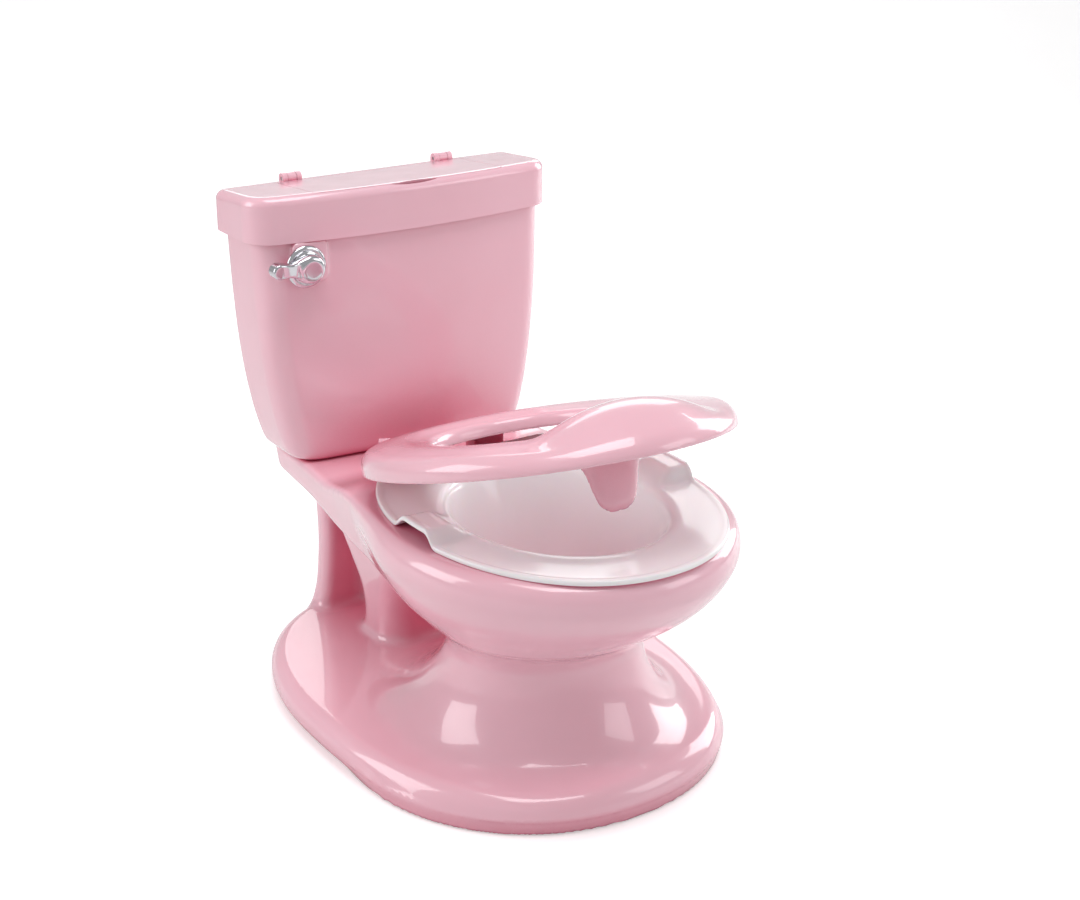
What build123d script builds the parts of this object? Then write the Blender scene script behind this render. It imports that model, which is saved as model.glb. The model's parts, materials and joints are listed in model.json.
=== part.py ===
from build123d import *
import os
from math import copysign, cos, pi, radians, sin

# Child's potty training chair shaped like a small flush toilet. Millimetres.
# Origin: on the floor at the middle of the object. +Z up, -Y towards the front of the bowl,
# +X to the right of a person facing the bowl from in front.

os.makedirs("parts", exist_ok=True)

# ---------------------------------------------------------------- driving dimensions
skin = 3.0                      # wall of the moulded shells
gap = 0.05                      # air between neighbours that touch

foot_half_width = 154.0
foot_front = -187.5
foot_rear = 215.0
foot_widest = 27.5
foot_height = 29.0
foot_clear = 1.0                # shell edge above the floor, the pads touch down
pad_radius = 12.0

neck_height = 92.0
neck_half_width = 75.0
bowl_height = 182.0
bowl_half_width = 132.0
bowl_front = -215.0
bowl_widest = -68.0
rim_height = 200.0
deck_height = 188.0
deck_half_width = 96.0
deck_rear = 205.0

pot_half_width = 116.0
pot_front = -212.6
pot_rear = 52.0
pot_widest = -62.6
pot_top = rim_height + gap + 4.0
scoop_lift = 10.0

tank_base_width = 216.0
tank_top_width = 256.0
tank_front = 120.0
tank_bow = 11.0
tank_base_rear = 192.0
tank_top_rear = 198.0
tank_top = 380.0
tank_wall = 2.5

lid_width = 267.4
lid_bottom = 368.0
lid_front = 117.0
lid_bow = 14.0
lid_rear = 202.6
lid_front_height = 405.0
lid_rear_height = 398.0

wipes_half_width = 83.6
wipes_front = 122.0
wipes_bow = 5.5                 # follows the bow of the lid's front
wipes_rear = 191.6
wipes_axis_y = 196.5
wipes_axis_z = 400.6
wipes_pin_radius = 1.5

seat_open_angle = 17.0          # the seat is modelled partly raised
hinge_y = 79.0
hinge_z = 207.0
hinge_pin_radius = 3.0
seat_half_width = 128.5
seat_front = -298.0             # from the hinge axis, along the seat
seat_rear = 6.0
seat_widest = -144.0
seat_under = -5.0
seat_top = 13.0

lever_x = -95.0
lever_z = 349.5
shaft_radius = 4.0
escutcheon_radius = 16.5
pad_front = 123.6               # flat pad that carries the flush handle
pad_x = -90.0
pad_width = 30.0
pad_bottom = 336.0
pad_top = 367.0
cam_radius = 6.0
cam_offset = 2.366              # gives 1 mm of button travel in 25 degrees
cam_y = 158.0

case_left = -115.0
case_right = -65.0
case_front = 140.0
case_rear = 190.0
case_floor = 292.0
case_top = 334.0
case_wall = 1.6
case_mid_x = (case_left + case_right) / 2


# ---------------------------------------------------------------- shared outlines
def egg_face(half_width, front, rear, widest, squareness=2.0):
    """Closed plan outline, symmetrical left to right, with its own front and rear reach."""
    power = 2.0 / squareness
    points = []
    for step in range(28):
        angle = 2 * pi * step / 28
        across = copysign(abs(cos(angle)) ** power, cos(angle))
        along = copysign(abs(sin(angle)) ** power, sin(angle))
        reach = rear - widest if along > 0 else widest - front
        points.append((half_width * across, widest + reach * along))
    with BuildSketch() as outline:
        with BuildLine():
            Spline(*points, periodic=True)
        make_face()
    return outline.sketch


def bowed_face(width, front, bow, rear, front_corner, rear_corner):
    """Rectangle whose front edge bows forward, with rounded corners."""
    half = width / 2
    with BuildSketch() as outline:
        with BuildLine():
            ThreePointArc((-half, front + bow), (0, front), (half, front + bow))
            Polyline((half, front + bow), (half, rear), (-half, rear), (-half, front + bow))
        make_face()
        fillet(outline.vertices().sort_by(Axis.Y)[:2], front_corner)
        fillet(outline.vertices().sort_by(Axis.Y)[-2:], rear_corner)
    return outline.sketch


def deck_face(tuck, inset):
    """Plan of the deck: wide where it leaves the bowl, narrower under the tank."""
    narrower = tuck + inset
    rear = deck_rear - inset - tuck / 4
    with BuildSketch() as outline:
        with BuildLine():
            Spline((112 - narrower, -40), (117.5 - narrower, 0), (114 - narrower, 38), (107 - narrower, 75),
                   (101 - narrower, 122), (deck_half_width - narrower, rear - 14))
            Line((deck_half_width - narrower, rear - 14), (deck_half_width - 12 - narrower, rear))
            Line((deck_half_width - 12 - narrower, rear), (0, rear))
            Line((0, rear), (0, -40))
            Line((0, -40), (112 - narrower, -40))
        make_face()
        mirror(about=Plane.YZ)
    return outline.sketch


def deck_block(inset):
    """Deck under the tank, tucked in below, with its underside rising to the rear."""
    with BuildPart() as deck:
        with BuildSketch(Plane.XY.offset(deck_height - inset)):
            add(deck_face(0, inset))
        with BuildSketch(Plane.XY.offset(128)):
            add(deck_face(19, inset))
        loft()
        under_deck = Plane(origin=(0, 0, 136 + inset), x_dir=(1, 0, 0), z_dir=(0, -0.148, 0.989))
        with BuildSketch(under_deck):
            with Locations((0, 100)):
                Rectangle(400, 400)
        extrude(amount=-80, mode=Mode.SUBTRACT)
    return deck.part


def body_block(inset, drop):
    """Foot, neck, bowl, deck and the two rear columns as one solid, shrunk by inset."""
    with BuildPart() as block:
        with BuildSketch(Plane.XY.offset(foot_clear - drop)):
            add(egg_face(foot_half_width - inset, foot_front + inset, foot_rear - inset, foot_widest, 2.37))
        extrude(amount=foot_height - foot_clear + drop - inset)
        fillet(block.edges().group_by(Axis.Z)[-1], 13 - inset)
        # flare from the foot to the neck
        with BuildSketch(Plane.XY.offset(foot_height - 6 - inset)):
            add(egg_face(126 - inset, -176 + inset, 78 - inset, -45))
        with BuildSketch(Plane.XY.offset(50)):
            add(egg_face(92 - inset, -150 + inset, 40 - inset, -52))
        with BuildSketch(Plane.XY.offset(neck_height)):
            add(egg_face(neck_half_width - inset, -133 + inset, 12 - inset, -60))
        loft()
        # bowl above the neck
        with BuildSketch(Plane.XY.offset(neck_height)):
            add(egg_face(neck_half_width - inset, -133 + inset, 12 - inset, -60))
        with BuildSketch(Plane.XY.offset(128)):
            add(egg_face(104 - inset, -178 + inset, 58 - inset, -65))
        with BuildSketch(Plane.XY.offset(158)):
            add(egg_face(125 - inset, -205 + inset, 72 - inset, bowl_widest))
        with BuildSketch(Plane.XY.offset(bowl_height)):
            add(egg_face(bowl_half_width - inset, bowl_front + inset, 76 - inset, bowl_widest))
        with BuildSketch(Plane.XY.offset(rim_height - inset)):
            add(egg_face(126 - inset, -208 + inset, 64 - inset, bowl_widest))
        loft()
        add(deck_block(inset))
        # trapway column behind the neck
        with BuildSketch(Plane.XY.offset(foot_height - 8 - inset)):
            with Locations((0, 112)):
                RectangleRounded(104 - 2 * inset, 76 - 2 * inset, 22)
        with BuildSketch(Plane.XY.offset(75)):
            with Locations((0, 112)):
                RectangleRounded(100 - 2 * inset, 84 - 2 * inset, 22)
        with BuildSketch(Plane.XY.offset(150)):
            with Locations((0, 112)):
                RectangleRounded(118 - 2 * inset, 116 - 2 * inset, 22)
        loft()
        # centre web and rear column
        with BuildSketch(Plane.XY.offset(foot_height - 8 - inset)):
            with Locations((0, 165)):
                Rectangle(44 - 2 * inset, 60)
        extrude(amount=140)
        with BuildSketch(Plane.XY.offset(foot_height - 8 - inset)):
            with Locations((0, 190)):
                RectangleRounded(140 - 2 * inset, 26 - 2 * inset, 7)
        with BuildSketch(Plane.XY.offset(70)):
            with Locations((0, 191)):
                RectangleRounded(118 - 2 * inset, 22 - 2 * inset, 7)
        with BuildSketch(Plane.XY.offset(170)):
            with Locations((0, 190)):
                RectangleRounded(126 - 2 * inset, 24 - 2 * inset, 7)
        loft()
    return block.part


# ---------------------------------------------------------------- body
outer_block = body_block(0, 0)
inner_block = body_block(skin, 4)

hinge_side = [-1, 1]
pad_spots = [(-100, -90), (100, -90), (-105, 140), (105, 140)]
tank_screw_spots = [(-72, 160), (72, 160)]

with BuildPart() as body_shell:
    add(outer_block)
    add(inner_block, mode=Mode.SUBTRACT)
    # mouth that the pot hangs in
    with BuildSketch(Plane.XY.offset(170)):
        add(egg_face(100, -192, 34, bowl_widest))
    extrude(amount=60, mode=Mode.SUBTRACT)
    # bosses over the floor pads
    with BuildSketch(Plane.XY.offset(3 + gap)):
        with Locations(*pad_spots):
            Circle(pad_radius + 1)
    extrude(amount=foot_height - 5)
    # hinge blocks for the seat, on the deck
    for side in hinge_side:
        with BuildSketch(Plane.YZ.offset(side * 36)):
            with Locations((hinge_y, hinge_z)):
                Circle(8)
            with Locations((hinge_y, hinge_z - 11)):
                Rectangle(16, 22)
            with Locations((hinge_y, hinge_z)):
                Circle(hinge_pin_radius + gap, mode=Mode.SUBTRACT)
        extrude(amount=14, both=True)
    # holes for the tank screws
    with BuildSketch(Plane.XY.offset(deck_height - 20)):
        with Locations(*tank_screw_spots):
            Circle(2.3)
    extrude(amount=30, mode=Mode.SUBTRACT)
body_shell.part.label = "body_shell"
export_step(body_shell.part, "parts/body_shell.step")

with BuildPart() as foot_pads:
    with BuildSketch():
        with Locations(*pad_spots):
            Circle(pad_radius)
    extrude(amount=3)
    fillet(foot_pads.edges().group_by(Axis.Z)[0], 0.8)
foot_pads.part.label = "foot_pads"
export_step(foot_pads.part, "parts/foot_pads.step")


# ---------------------------------------------------------------- tank
def tank_block(inset, bottom):
    """Tank walls as a solid, narrowing towards the base, shrunk by inset."""
    with BuildPart() as block:
        with BuildSketch(Plane.XY.offset(bottom)):
            add(bowed_face(tank_base_width - 2 * inset, tank_front + 1 + inset, tank_bow,
                       tank_base_rear - inset, 18 - inset, 8 - inset))
        with BuildSketch(Plane.XY.offset(235)):
            add(bowed_face(236 - 2 * inset, tank_front + inset, tank_bow, 194 - inset, 20 - inset, 8 - inset))
        with BuildSketch(Plane.XY.offset(300)):
            add(bowed_face(250 - 2 * inset, tank_front + inset, tank_bow, 196 - inset, 20 - inset, 8 - inset))
        with BuildSketch(Plane.XY.offset(tank_top)):
            add(bowed_face(tank_top_width - 2 * inset, tank_front + 2.5 + inset, tank_bow,
                       tank_top_rear - inset, 20 - inset, 8 - inset))
        loft()
    return block.part


tank_outer = tank_block(0, deck_height + gap)
tank_inner = tank_block(tank_wall, deck_height + gap + tank_wall)

with BuildPart() as tank_shell:
    add(tank_outer)
    # flat pad behind the flush handle
    with BuildSketch(Plane.XZ.offset(-pad_front)):
        with Locations((pad_x, (pad_bottom + pad_top) / 2)):
            RectangleRounded(pad_width, pad_top - pad_bottom, 6)
    extrude(amount=-14)
    add(tank_inner, mode=Mode.SUBTRACT)
    # hole for the handle's sleeve
    with BuildSketch(Plane.XZ.offset(-pad_front + 2)):
        with Locations((lever_x, lever_z)):
            Circle(6.2)
    extrude(amount=-20, mode=Mode.SUBTRACT)
    # battery door opening in the rear wall
    with BuildSketch(Plane.XZ.offset(-185)):
        with Locations((case_mid_x, 309)):
            Rectangle(50, 32)
    extrude(amount=-20, mode=Mode.SUBTRACT)
    # screw posts on the floor
    with BuildSketch(Plane.XY.offset(deck_height + gap + 1)):
        with Locations(*tank_screw_spots):
            Circle(5)
    extrude(amount=16)
    with BuildSketch(Plane.XY.offset(deck_height)):
        with Locations(*tank_screw_spots):
            Circle(1.8)
    extrude(amount=16, mode=Mode.SUBTRACT)
tank_shell.part.label = "tank_shell"
export_step(tank_shell.part, "parts/tank_shell.step")

with BuildPart() as tank_screws:
    with BuildSketch(Plane.XY.offset(deck_height - skin - 2.4)):
        with Locations(*tank_screw_spots):
            Circle(4)
    extrude(amount=2.3)
    with BuildSketch(Plane.XY.offset(deck_height - skin - 1)):
        with Locations(*tank_screw_spots):
            Circle(1.75)
    extrude(amount=17)
tank_screws.part.label = "tank_screws"
export_step(tank_screws.part, "parts/tank_screws.step")


# ---------------------------------------------------------------- tank lid and wipes lid
def lid_block(inset, bottom):
    """Tank lid as a solid: bowed plan, rounded top edge, top falling towards the rear."""
    with BuildPart() as block:
        with BuildSketch(Plane.XY.offset(bottom)):
            add(bowed_face(lid_width - 2 * inset, lid_front + inset, lid_bow, lid_rear - inset,
                       24 - inset, 10 - min(inset, 7)))
        extrude(amount=60)
        with BuildSketch(Plane.YZ):
            with BuildLine():
                Polyline((lid_front - 5, lid_front_height - inset), (lid_rear + 5, lid_rear_height - inset),
                         (lid_rear + 5, 450), (lid_front - 5, 450), close=True)
            make_face()
        extrude(amount=200, both=True, mode=Mode.SUBTRACT)
        top_edges = block.faces().sort_by(Axis.Z)[-1].edges()
        fillet(top_edges, 7 - min(inset, 4))
    return block.part


lid_outer = lid_block(0, lid_bottom)
lid_inner = lid_block(tank_wall, lid_bottom - 5)
knuckle_outer_half = 8.0
knuckle_inner_half = 3.7
knuckle_x = 69.0

with BuildPart() as lid_ledge:
    with BuildSketch(Plane.XY.offset(tank_top + gap)):
        add(bowed_face(lid_width - 3, lid_front + 1.5, lid_bow, lid_rear - 1.5, 22, 8))
    extrude(amount=4)
    with BuildSketch(Plane.XY.offset(tank_top)):
        add(bowed_face(lid_width - 24, lid_front + 12, lid_bow - 2, lid_rear - 8, 14, 4))
    extrude(amount=8, mode=Mode.SUBTRACT)

with BuildPart() as tank_lid:
    add(lid_outer)
    add(lid_inner, mode=Mode.SUBTRACT)
    add(lid_ledge.part)
    # opening that the wipes lid closes
    with BuildSketch(Plane.XY.offset(386)):
        add(bowed_face(2 * wipes_half_width + 0.8, wipes_front - 0.4, wipes_bow, wipes_rear + 0.4, 2.4, 2.4))
    extrude(amount=40, mode=Mode.SUBTRACT)
    # half-moon finger notch at the front of the opening
    with BuildSketch(Plane.XY.offset(399)):
        with Locations((0, wipes_front + 1)):
            Ellipse(22, 3.6)
    extrude(amount=20, mode=Mode.SUBTRACT)
    # outer hinge knuckles and the slots between them
    for side in hinge_side:
        with BuildSketch(Plane.YZ.offset(side * knuckle_x)):
            with Locations((wipes_axis_y, wipes_axis_z)):
                Circle(4.4)
            with Locations((wipes_axis_y, wipes_axis_z - 3.5)):
                Rectangle(8.8, 7)
        extrude(amount=knuckle_outer_half, both=True)
        with BuildSketch(Plane.YZ.offset(side * knuckle_x)):
            with Locations((wipes_axis_y + 1, wipes_axis_z + 1)):
                Rectangle(12, 14)
        extrude(amount=knuckle_inner_half + 0.3, both=True, mode=Mode.SUBTRACT)
        with BuildSketch(Plane.YZ.offset(side * knuckle_x)):
            with Locations((wipes_axis_y, wipes_axis_z)):
                Circle(wipes_pin_radius + 0.02)
        extrude(amount=20, both=True, mode=Mode.SUBTRACT)
tank_lid.part.label = "tank_lid"
export_step(tank_lid.part, "parts/tank_lid.step")

with BuildPart() as wipes_lid:
    add(lid_outer)
    add(lid_block(3, lid_bottom - 5), mode=Mode.SUBTRACT)
    with BuildSketch(Plane.XY.offset(386)):
        add(bowed_face(2 * wipes_half_width, wipes_front, wipes_bow, wipes_rear, 2, 2))
    extrude(amount=40, mode=Mode.INTERSECT)
    with BuildSketch(Plane.XY.offset(388)):
        with Locations((0, wipes_front - 2.6)):
            Ellipse(20, 4)
    extrude(amount=40, mode=Mode.SUBTRACT)
    # middle hinge knuckles
    for side in hinge_side:
        with BuildSketch(Plane.YZ.offset(side * knuckle_x)):
            with Locations((wipes_axis_y, wipes_axis_z)):
                Circle(4.2)
            with Locations((wipes_axis_y - 4.5, wipes_axis_z - 3.2)):
                Rectangle(7, 3.6)
            with Locations((wipes_axis_y, wipes_axis_z)):
                Circle(wipes_pin_radius + gap, mode=Mode.SUBTRACT)
        extrude(amount=knuckle_inner_half, both=True)
wipes_lid.part.label = "wipes_lid"
export_step(wipes_lid.part, "parts/wipes_lid.step")

with BuildPart() as wipes_hinge_pins:
    for side in hinge_side:
        with BuildSketch(Plane.YZ.offset(side * knuckle_x)):
            with Locations((wipes_axis_y, wipes_axis_z)):
                Circle(wipes_pin_radius)
        extrude(amount=knuckle_outer_half - 0.3, both=True)
wipes_hinge_pins.part.label = "wipes_hinge_pins"
export_step(wipes_hinge_pins.part, "parts/wipes_hinge_pins.step")

with BuildPart() as wipes_tray:
    with BuildSketch(Plane.XY.offset(338)):
        with Locations((0, 161)):
            RectangleRounded(132, 56, 10)
    extrude(amount=53)
    with BuildSketch(Plane.XY.offset(389)):
        with Locations((0, 160)):
            RectangleRounded(190, 64, 6)
    extrude(amount=2)
    with BuildSketch(Plane.XY.offset(340)):
        with Locations((0, 161)):
            RectangleRounded(128, 52, 8)
    extrude(amount=60, mode=Mode.SUBTRACT)
wipes_tray.part.label = "wipes_tray"
export_step(wipes_tray.part, "parts/wipes_tray.step")


# ---------------------------------------------------------------- flush handle
lever_tip_x = -123.5
lever_tip_z = 352.5

with BuildPart() as flush_escutcheon:
    with BuildSketch(Plane.XZ.offset(-pad_front + 0.05)):
        with Locations((lever_x, lever_z)):
            Circle(escutcheon_radius)
    extrude(amount=4)
    fillet(flush_escutcheon.edges().group_by(Axis.Y)[0], 2.5)
    with BuildSketch(Plane.XZ.offset(-pad_front + 0.05)):
        with Locations((lever_x, lever_z)):
            Circle(6)
    extrude(amount=-11)
    with BuildSketch(Plane.XZ.offset(-pad_front + 20)):
        with Locations((lever_x, lever_z)):
            Circle(shaft_radius + gap)
    extrude(amount=-40, mode=Mode.SUBTRACT)
flush_escutcheon.part.label = "flush_escutcheon"
export_step(flush_escutcheon.part, "parts/flush_escutcheon.step")

lever_back = pad_front - 4.3
with BuildPart() as flush_lever:
    with BuildSketch(Plane.XZ.offset(-lever_back)):
        with Locations((lever_x, lever_z)):
            Circle(8.5)
    extrude(amount=9)
    fillet(flush_lever.edges().group_by(Axis.Y)[0], 3)
    # arm that tapers towards a rounded tip
    with BuildSketch(Plane.XZ.offset(-lever_back + 2.5)):
        with BuildLine():
            Polyline((lever_x, lever_z + 7), (lever_tip_x, lever_tip_z + 4.5),
                     (lever_tip_x, lever_tip_z - 4.5), (lever_x, lever_z - 7), close=True)
        make_face()
        with Locations((lever_tip_x, lever_tip_z)):
            Circle(4.5)
    extrude(amount=6)
    with BuildSketch(Plane.XZ.offset(-lever_back)):
        with Locations((lever_x, lever_z)):
            Circle(shaft_radius + 0.02)
    extrude(amount=6, mode=Mode.SUBTRACT)
flush_lever.part.label = "flush_lever"
export_step(flush_lever.part, "parts/flush_lever.step")

clip_y = 138.5
with BuildPart() as flush_shaft:
    with BuildSketch(Plane.XZ.offset(-lever_back + 5.8)):
        with Locations((lever_x, lever_z)):
            Circle(shaft_radius)
    extrude(amount=-(cam_y + 6 - lever_back + 5.8))
    # groove for the retaining clip
    with BuildSketch(Plane.XZ.offset(-clip_y)):
        with Locations((lever_x, lever_z)):
            Circle(shaft_radius + 1)
            Circle(shaft_radius - 0.8, mode=Mode.SUBTRACT)
    extrude(amount=0.7, both=True, mode=Mode.SUBTRACT)
    # round cam set off-centre towards the handle's tip
    with BuildSketch(Plane.XZ.offset(-cam_y)):
        with Locations((lever_x - cam_offset, lever_z)):
            Circle(cam_radius)
    extrude(amount=3, both=True)
flush_shaft.part.label = "flush_shaft"
export_step(flush_shaft.part, "parts/flush_shaft.step")

with BuildPart() as shaft_clip:
    with BuildSketch(Plane.XZ.offset(-clip_y)):
        with Locations((lever_x, lever_z)):
            Circle(6.8)
            Circle(shaft_radius - 0.75, mode=Mode.SUBTRACT)
        with Locations((lever_x, lever_z - 6)):
            Rectangle(5.2, 10, mode=Mode.SUBTRACT)
    extrude(amount=0.6, both=True)
shaft_clip.part.label = "shaft_clip"
export_step(shaft_clip.part, "parts/shaft_clip.step")

with BuildPart() as flush_return_spring:
    with BuildLine():
        coil = Helix(pitch=1.8, height=8.1, radius=5.8, center=(lever_x, 142, lever_z), direction=(0, 1, 0))
    with BuildSketch(Plane(origin=coil @ 0, z_dir=coil % 0)):
        Circle(0.55)
    sweep(path=coil, is_frenet=True)
flush_return_spring.part.label = "flush_return_spring"
export_step(flush_return_spring.part, "parts/flush_return_spring.step")


# ---------------------------------------------------------------- sound unit
case_width = case_right - case_left
case_depth = case_rear - case_front
case_mid_y = (case_front + case_rear) / 2
battery_wall_y = 169.0
button_x = lever_x - cam_offset
button_top = lever_z - cam_radius - gap
speaker_y = 153.0
screw_x_offset = case_width / 2 - 3.6
screw_spots = []
for screw_side in (-1, 1):
    for screw_height in (case_floor + 4.2, case_top - 4.2):
        screw_spots.append((case_mid_x + screw_side * screw_x_offset, screw_height))

with BuildPart() as sound_case:
    with BuildSketch(Plane.XY.offset(case_floor)):
        with Locations((case_mid_x, case_mid_y)):
            RectangleRounded(case_width, case_depth, 2)
    extrude(amount=case_top - case_floor)
    # front chamber for board and speaker
    with BuildSketch(Plane.XY.offset(case_floor + case_wall)):
        with Locations((case_mid_x, (case_front + battery_wall_y) / 2 - 1)):
            Rectangle(case_width - 2 * case_wall, battery_wall_y - case_front - case_wall + 2)
    extrude(amount=case_top - case_floor - 2 * case_wall, mode=Mode.SUBTRACT)
    # rear chamber for the batteries, open towards the door
    with BuildSketch(Plane.XY.offset(case_floor + case_wall + 2)):
        with Locations((case_mid_x, (case_rear + battery_wall_y) / 2 + 2)):
            Rectangle(case_width - 2 * case_wall, case_rear - battery_wall_y + 4 - case_wall)
    extrude(amount=28, mode=Mode.SUBTRACT)
    # screw posts behind the cover
    with BuildSketch(Plane.XZ.offset(-case_front)):
        with Locations(*screw_spots):
            Circle(2.6)
    extrude(amount=-18)
    with BuildSketch(Plane.XZ.offset(-case_front)):
        with Locations(*screw_spots):
            Circle(1.3)
    extrude(amount=-14, mode=Mode.SUBTRACT)
    # guide hole for the button, with a short collar
    with BuildSketch(Plane.XY.offset(case_top)):
        with Locations((button_x, cam_y)):
            Circle(5)
    extrude(amount=1.4)
    with BuildSketch(Plane.XY.offset(case_top - 4)):
        with Locations((button_x, cam_y)):
            Circle(3 + gap)
    extrude(amount=10, mode=Mode.SUBTRACT)
    # sound holes under the speaker
    with BuildSketch(Plane.XY.offset(case_floor - 1)):
        with Locations((case_mid_x, speaker_y)):
            with PolarLocations(6, 8):
                Circle(1)
            Circle(1)
    extrude(amount=5, mode=Mode.SUBTRACT)
sound_case.part.label = "sound_case"
export_step(sound_case.part, "parts/sound_case.step")

with BuildPart() as sound_case_cover:
    with BuildSketch(Plane.XZ.offset(-case_front + gap)):
        with Locations((case_mid_x, (case_floor + case_top) / 2)):
            RectangleRounded(case_width, case_top - case_floor, 2)
        with Locations(*screw_spots):
            Circle(1.4, mode=Mode.SUBTRACT)
    extrude(amount=1.6)
sound_case_cover.part.label = "sound_case_cover"
export_step(sound_case_cover.part, "parts/sound_case_cover.step")

with BuildPart() as case_screws:
    with BuildSketch(Plane.XZ.offset(-case_front + gap + 1.65)):
        with Locations(*screw_spots):
            Circle(2.2)
    extrude(amount=1.3)
    with BuildSketch(Plane.XZ.offset(-case_front + gap + 1.65)):
        with Locations(*screw_spots):
            Circle(1.25)
    extrude(amount=-10)
case_screws.part.label = "case_screws"
export_step(case_screws.part, "parts/case_screws.step")

with BuildPart() as sound_board:
    with BuildSketch(Plane.XY.offset(316)):
        with Locations((case_mid_x, 155)):
            Rectangle(40, 20)
    extrude(amount=1.6)
    # chip and two small parts on top
    with BuildSketch(Plane.XY.offset(317.6)):
        with Locations((-78, 154)):
            Rectangle(9, 9)
        with Locations((-105, 150), (-105, 160)):
            Rectangle(5, 3)
    extrude(amount=1.5)
sound_board.part.label = "sound_board"
export_step(sound_board.part, "parts/sound_board.step")

with BuildPart() as speaker:
    with BuildSketch(Plane.XY.offset(case_floor + case_wall + gap)):
        with Locations((case_mid_x, speaker_y + 1)):
            Circle(11)
    extrude(amount=2)
    with BuildSketch(Plane.XY.offset(case_floor + case_wall + gap + 2)):
        with Locations((case_mid_x, speaker_y + 1)):
            Circle(7)
    extrude(amount=5)
speaker.part.label = "speaker"
export_step(speaker.part, "parts/speaker.step")

with BuildPart() as sound_switch:
    with BuildSketch(Plane.XY.offset(317.6 + gap)):
        with Locations((button_x, cam_y)):
            RectangleRounded(6, 6, 0.5)
    extrude(amount=5)
    with BuildSketch(Plane.XY.offset(322.6 + gap)):
        with Locations((button_x, cam_y)):
            Circle(1.75)
    extrude(amount=3)
sound_switch.part.label = "sound_switch"
export_step(sound_switch.part, "parts/sound_switch.step")

with BuildPart() as sound_button:
    with BuildSketch(Plane.XY.offset(327)):
        with Locations((button_x, cam_y)):
            Circle(4.4)
    extrude(amount=2)
    with BuildSketch(Plane.XY.offset(329)):
        with Locations((button_x, cam_y)):
            Circle(3)
    extrude(amount=button_top - 329)
sound_button.part.label = "sound_button"
export_step(sound_button.part, "parts/sound_button.step")

battery_rows = [301.2, 312.4]
battery_y = 180.0
battery_left = case_mid_x - 22.5
with BuildPart() as batteries:
    with BuildSketch(Plane.YZ.offset(battery_left)):
        for row in battery_rows:
            with Locations((battery_y, row)):
                Circle(5.2)
    extrude(amount=44)
    with BuildSketch(Plane.YZ.offset(battery_left + 44)):
        for row in battery_rows:
            with Locations((battery_y, row)):
                Circle(1.9)
    extrude(amount=0.9)
batteries.part.label = "batteries"
export_step(batteries.part, "parts/batteries.step")

with BuildPart() as battery_contacts:
    for row in battery_rows:
        with BuildSketch(Plane.YZ.offset(case_left + case_wall + gap)):
            with Locations((battery_y, row)):
                Rectangle(8, 8)
        extrude(amount=0.5)
        with BuildSketch(Plane.YZ.offset(case_right - case_wall - gap)):
            with Locations((battery_y, row)):
                Rectangle(8, 8)
        extrude(amount=-0.5)
battery_contacts.part.label = "battery_contacts"
export_step(battery_contacts.part, "parts/battery_contacts.step")

door_back = 196.4
with BuildPart() as battery_door:
    with BuildSketch(Plane.XZ.offset(-door_back)):
        with Locations((case_mid_x, 309)):
            RectangleRounded(49.6, 31.6, 1.5)
    extrude(amount=2.4)
    with BuildSketch(Plane.XZ.offset(-door_back)):
        with Locations((case_mid_x, 320.5)):
            Circle(1.7)
    extrude(amount=3, mode=Mode.SUBTRACT)
battery_door.part.label = "battery_door"
export_step(battery_door.part, "parts/battery_door.step")

with BuildPart() as battery_door_screw:
    with BuildSketch(Plane.XZ.offset(-door_back - gap)):
        with Locations((case_mid_x, 320.5)):
            Circle(2.8)
    extrude(amount=-1.2)
    with BuildSketch(Plane.XZ.offset(-door_back - gap)):
        with Locations((case_mid_x, 320.5)):
            Circle(1.6)
    extrude(amount=4.2)
battery_door_screw.part.label = "battery_door_screw"
export_step(battery_door_screw.part, "parts/battery_door_screw.step")


# ---------------------------------------------------------------- removable pot
def pot_wall(inset):
    """Inside of the pot as a solid, for the given wall inset."""
    with BuildPart() as block:
        with BuildSketch(Plane.XY.offset(pot_top + 0.01)):
            add(egg_face(77 - inset, -168 + inset, 14 - inset, -72))
        with BuildSketch(Plane.XY.offset(160)):
            add(egg_face(70 - inset, -161 + inset, 4 - inset, -74))
        with BuildSketch(Plane.XY.offset(114 + inset)):
            add(egg_face(52 - inset, -136 + inset, -18 - inset, -78))
        loft()
    return block.part


pot_outside = pot_wall(0)
pot_inside = pot_wall(2.5)

with BuildPart() as scoops:
    # raised finger loops at each side of the rim
    with BuildSketch(Plane.YZ):
        with BuildLine():
            Polyline((-91, pot_top - 2), (-84, pot_top + scoop_lift), (-52, pot_top + scoop_lift - 1),
                     (-38, pot_top - 2), close=True)
        make_face()
        fillet(vertices().group_by(Axis.Y)[-1], 4)
    extrude(amount=130, both=True)
    with BuildSketch(Plane.XY.offset(pot_top - 10)):
        add(egg_face(pot_half_width, pot_front, 80, pot_widest, 2.1))
        add(egg_face(84, pot_front, 40, pot_widest, 2.0))
    extrude(amount=40, mode=Mode.INTERSECT)
    with BuildSketch(Plane.XY.offset(pot_top - 20)):
        add(egg_face(86, -180, 30, -70))
    extrude(amount=60, mode=Mode.SUBTRACT)

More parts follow.
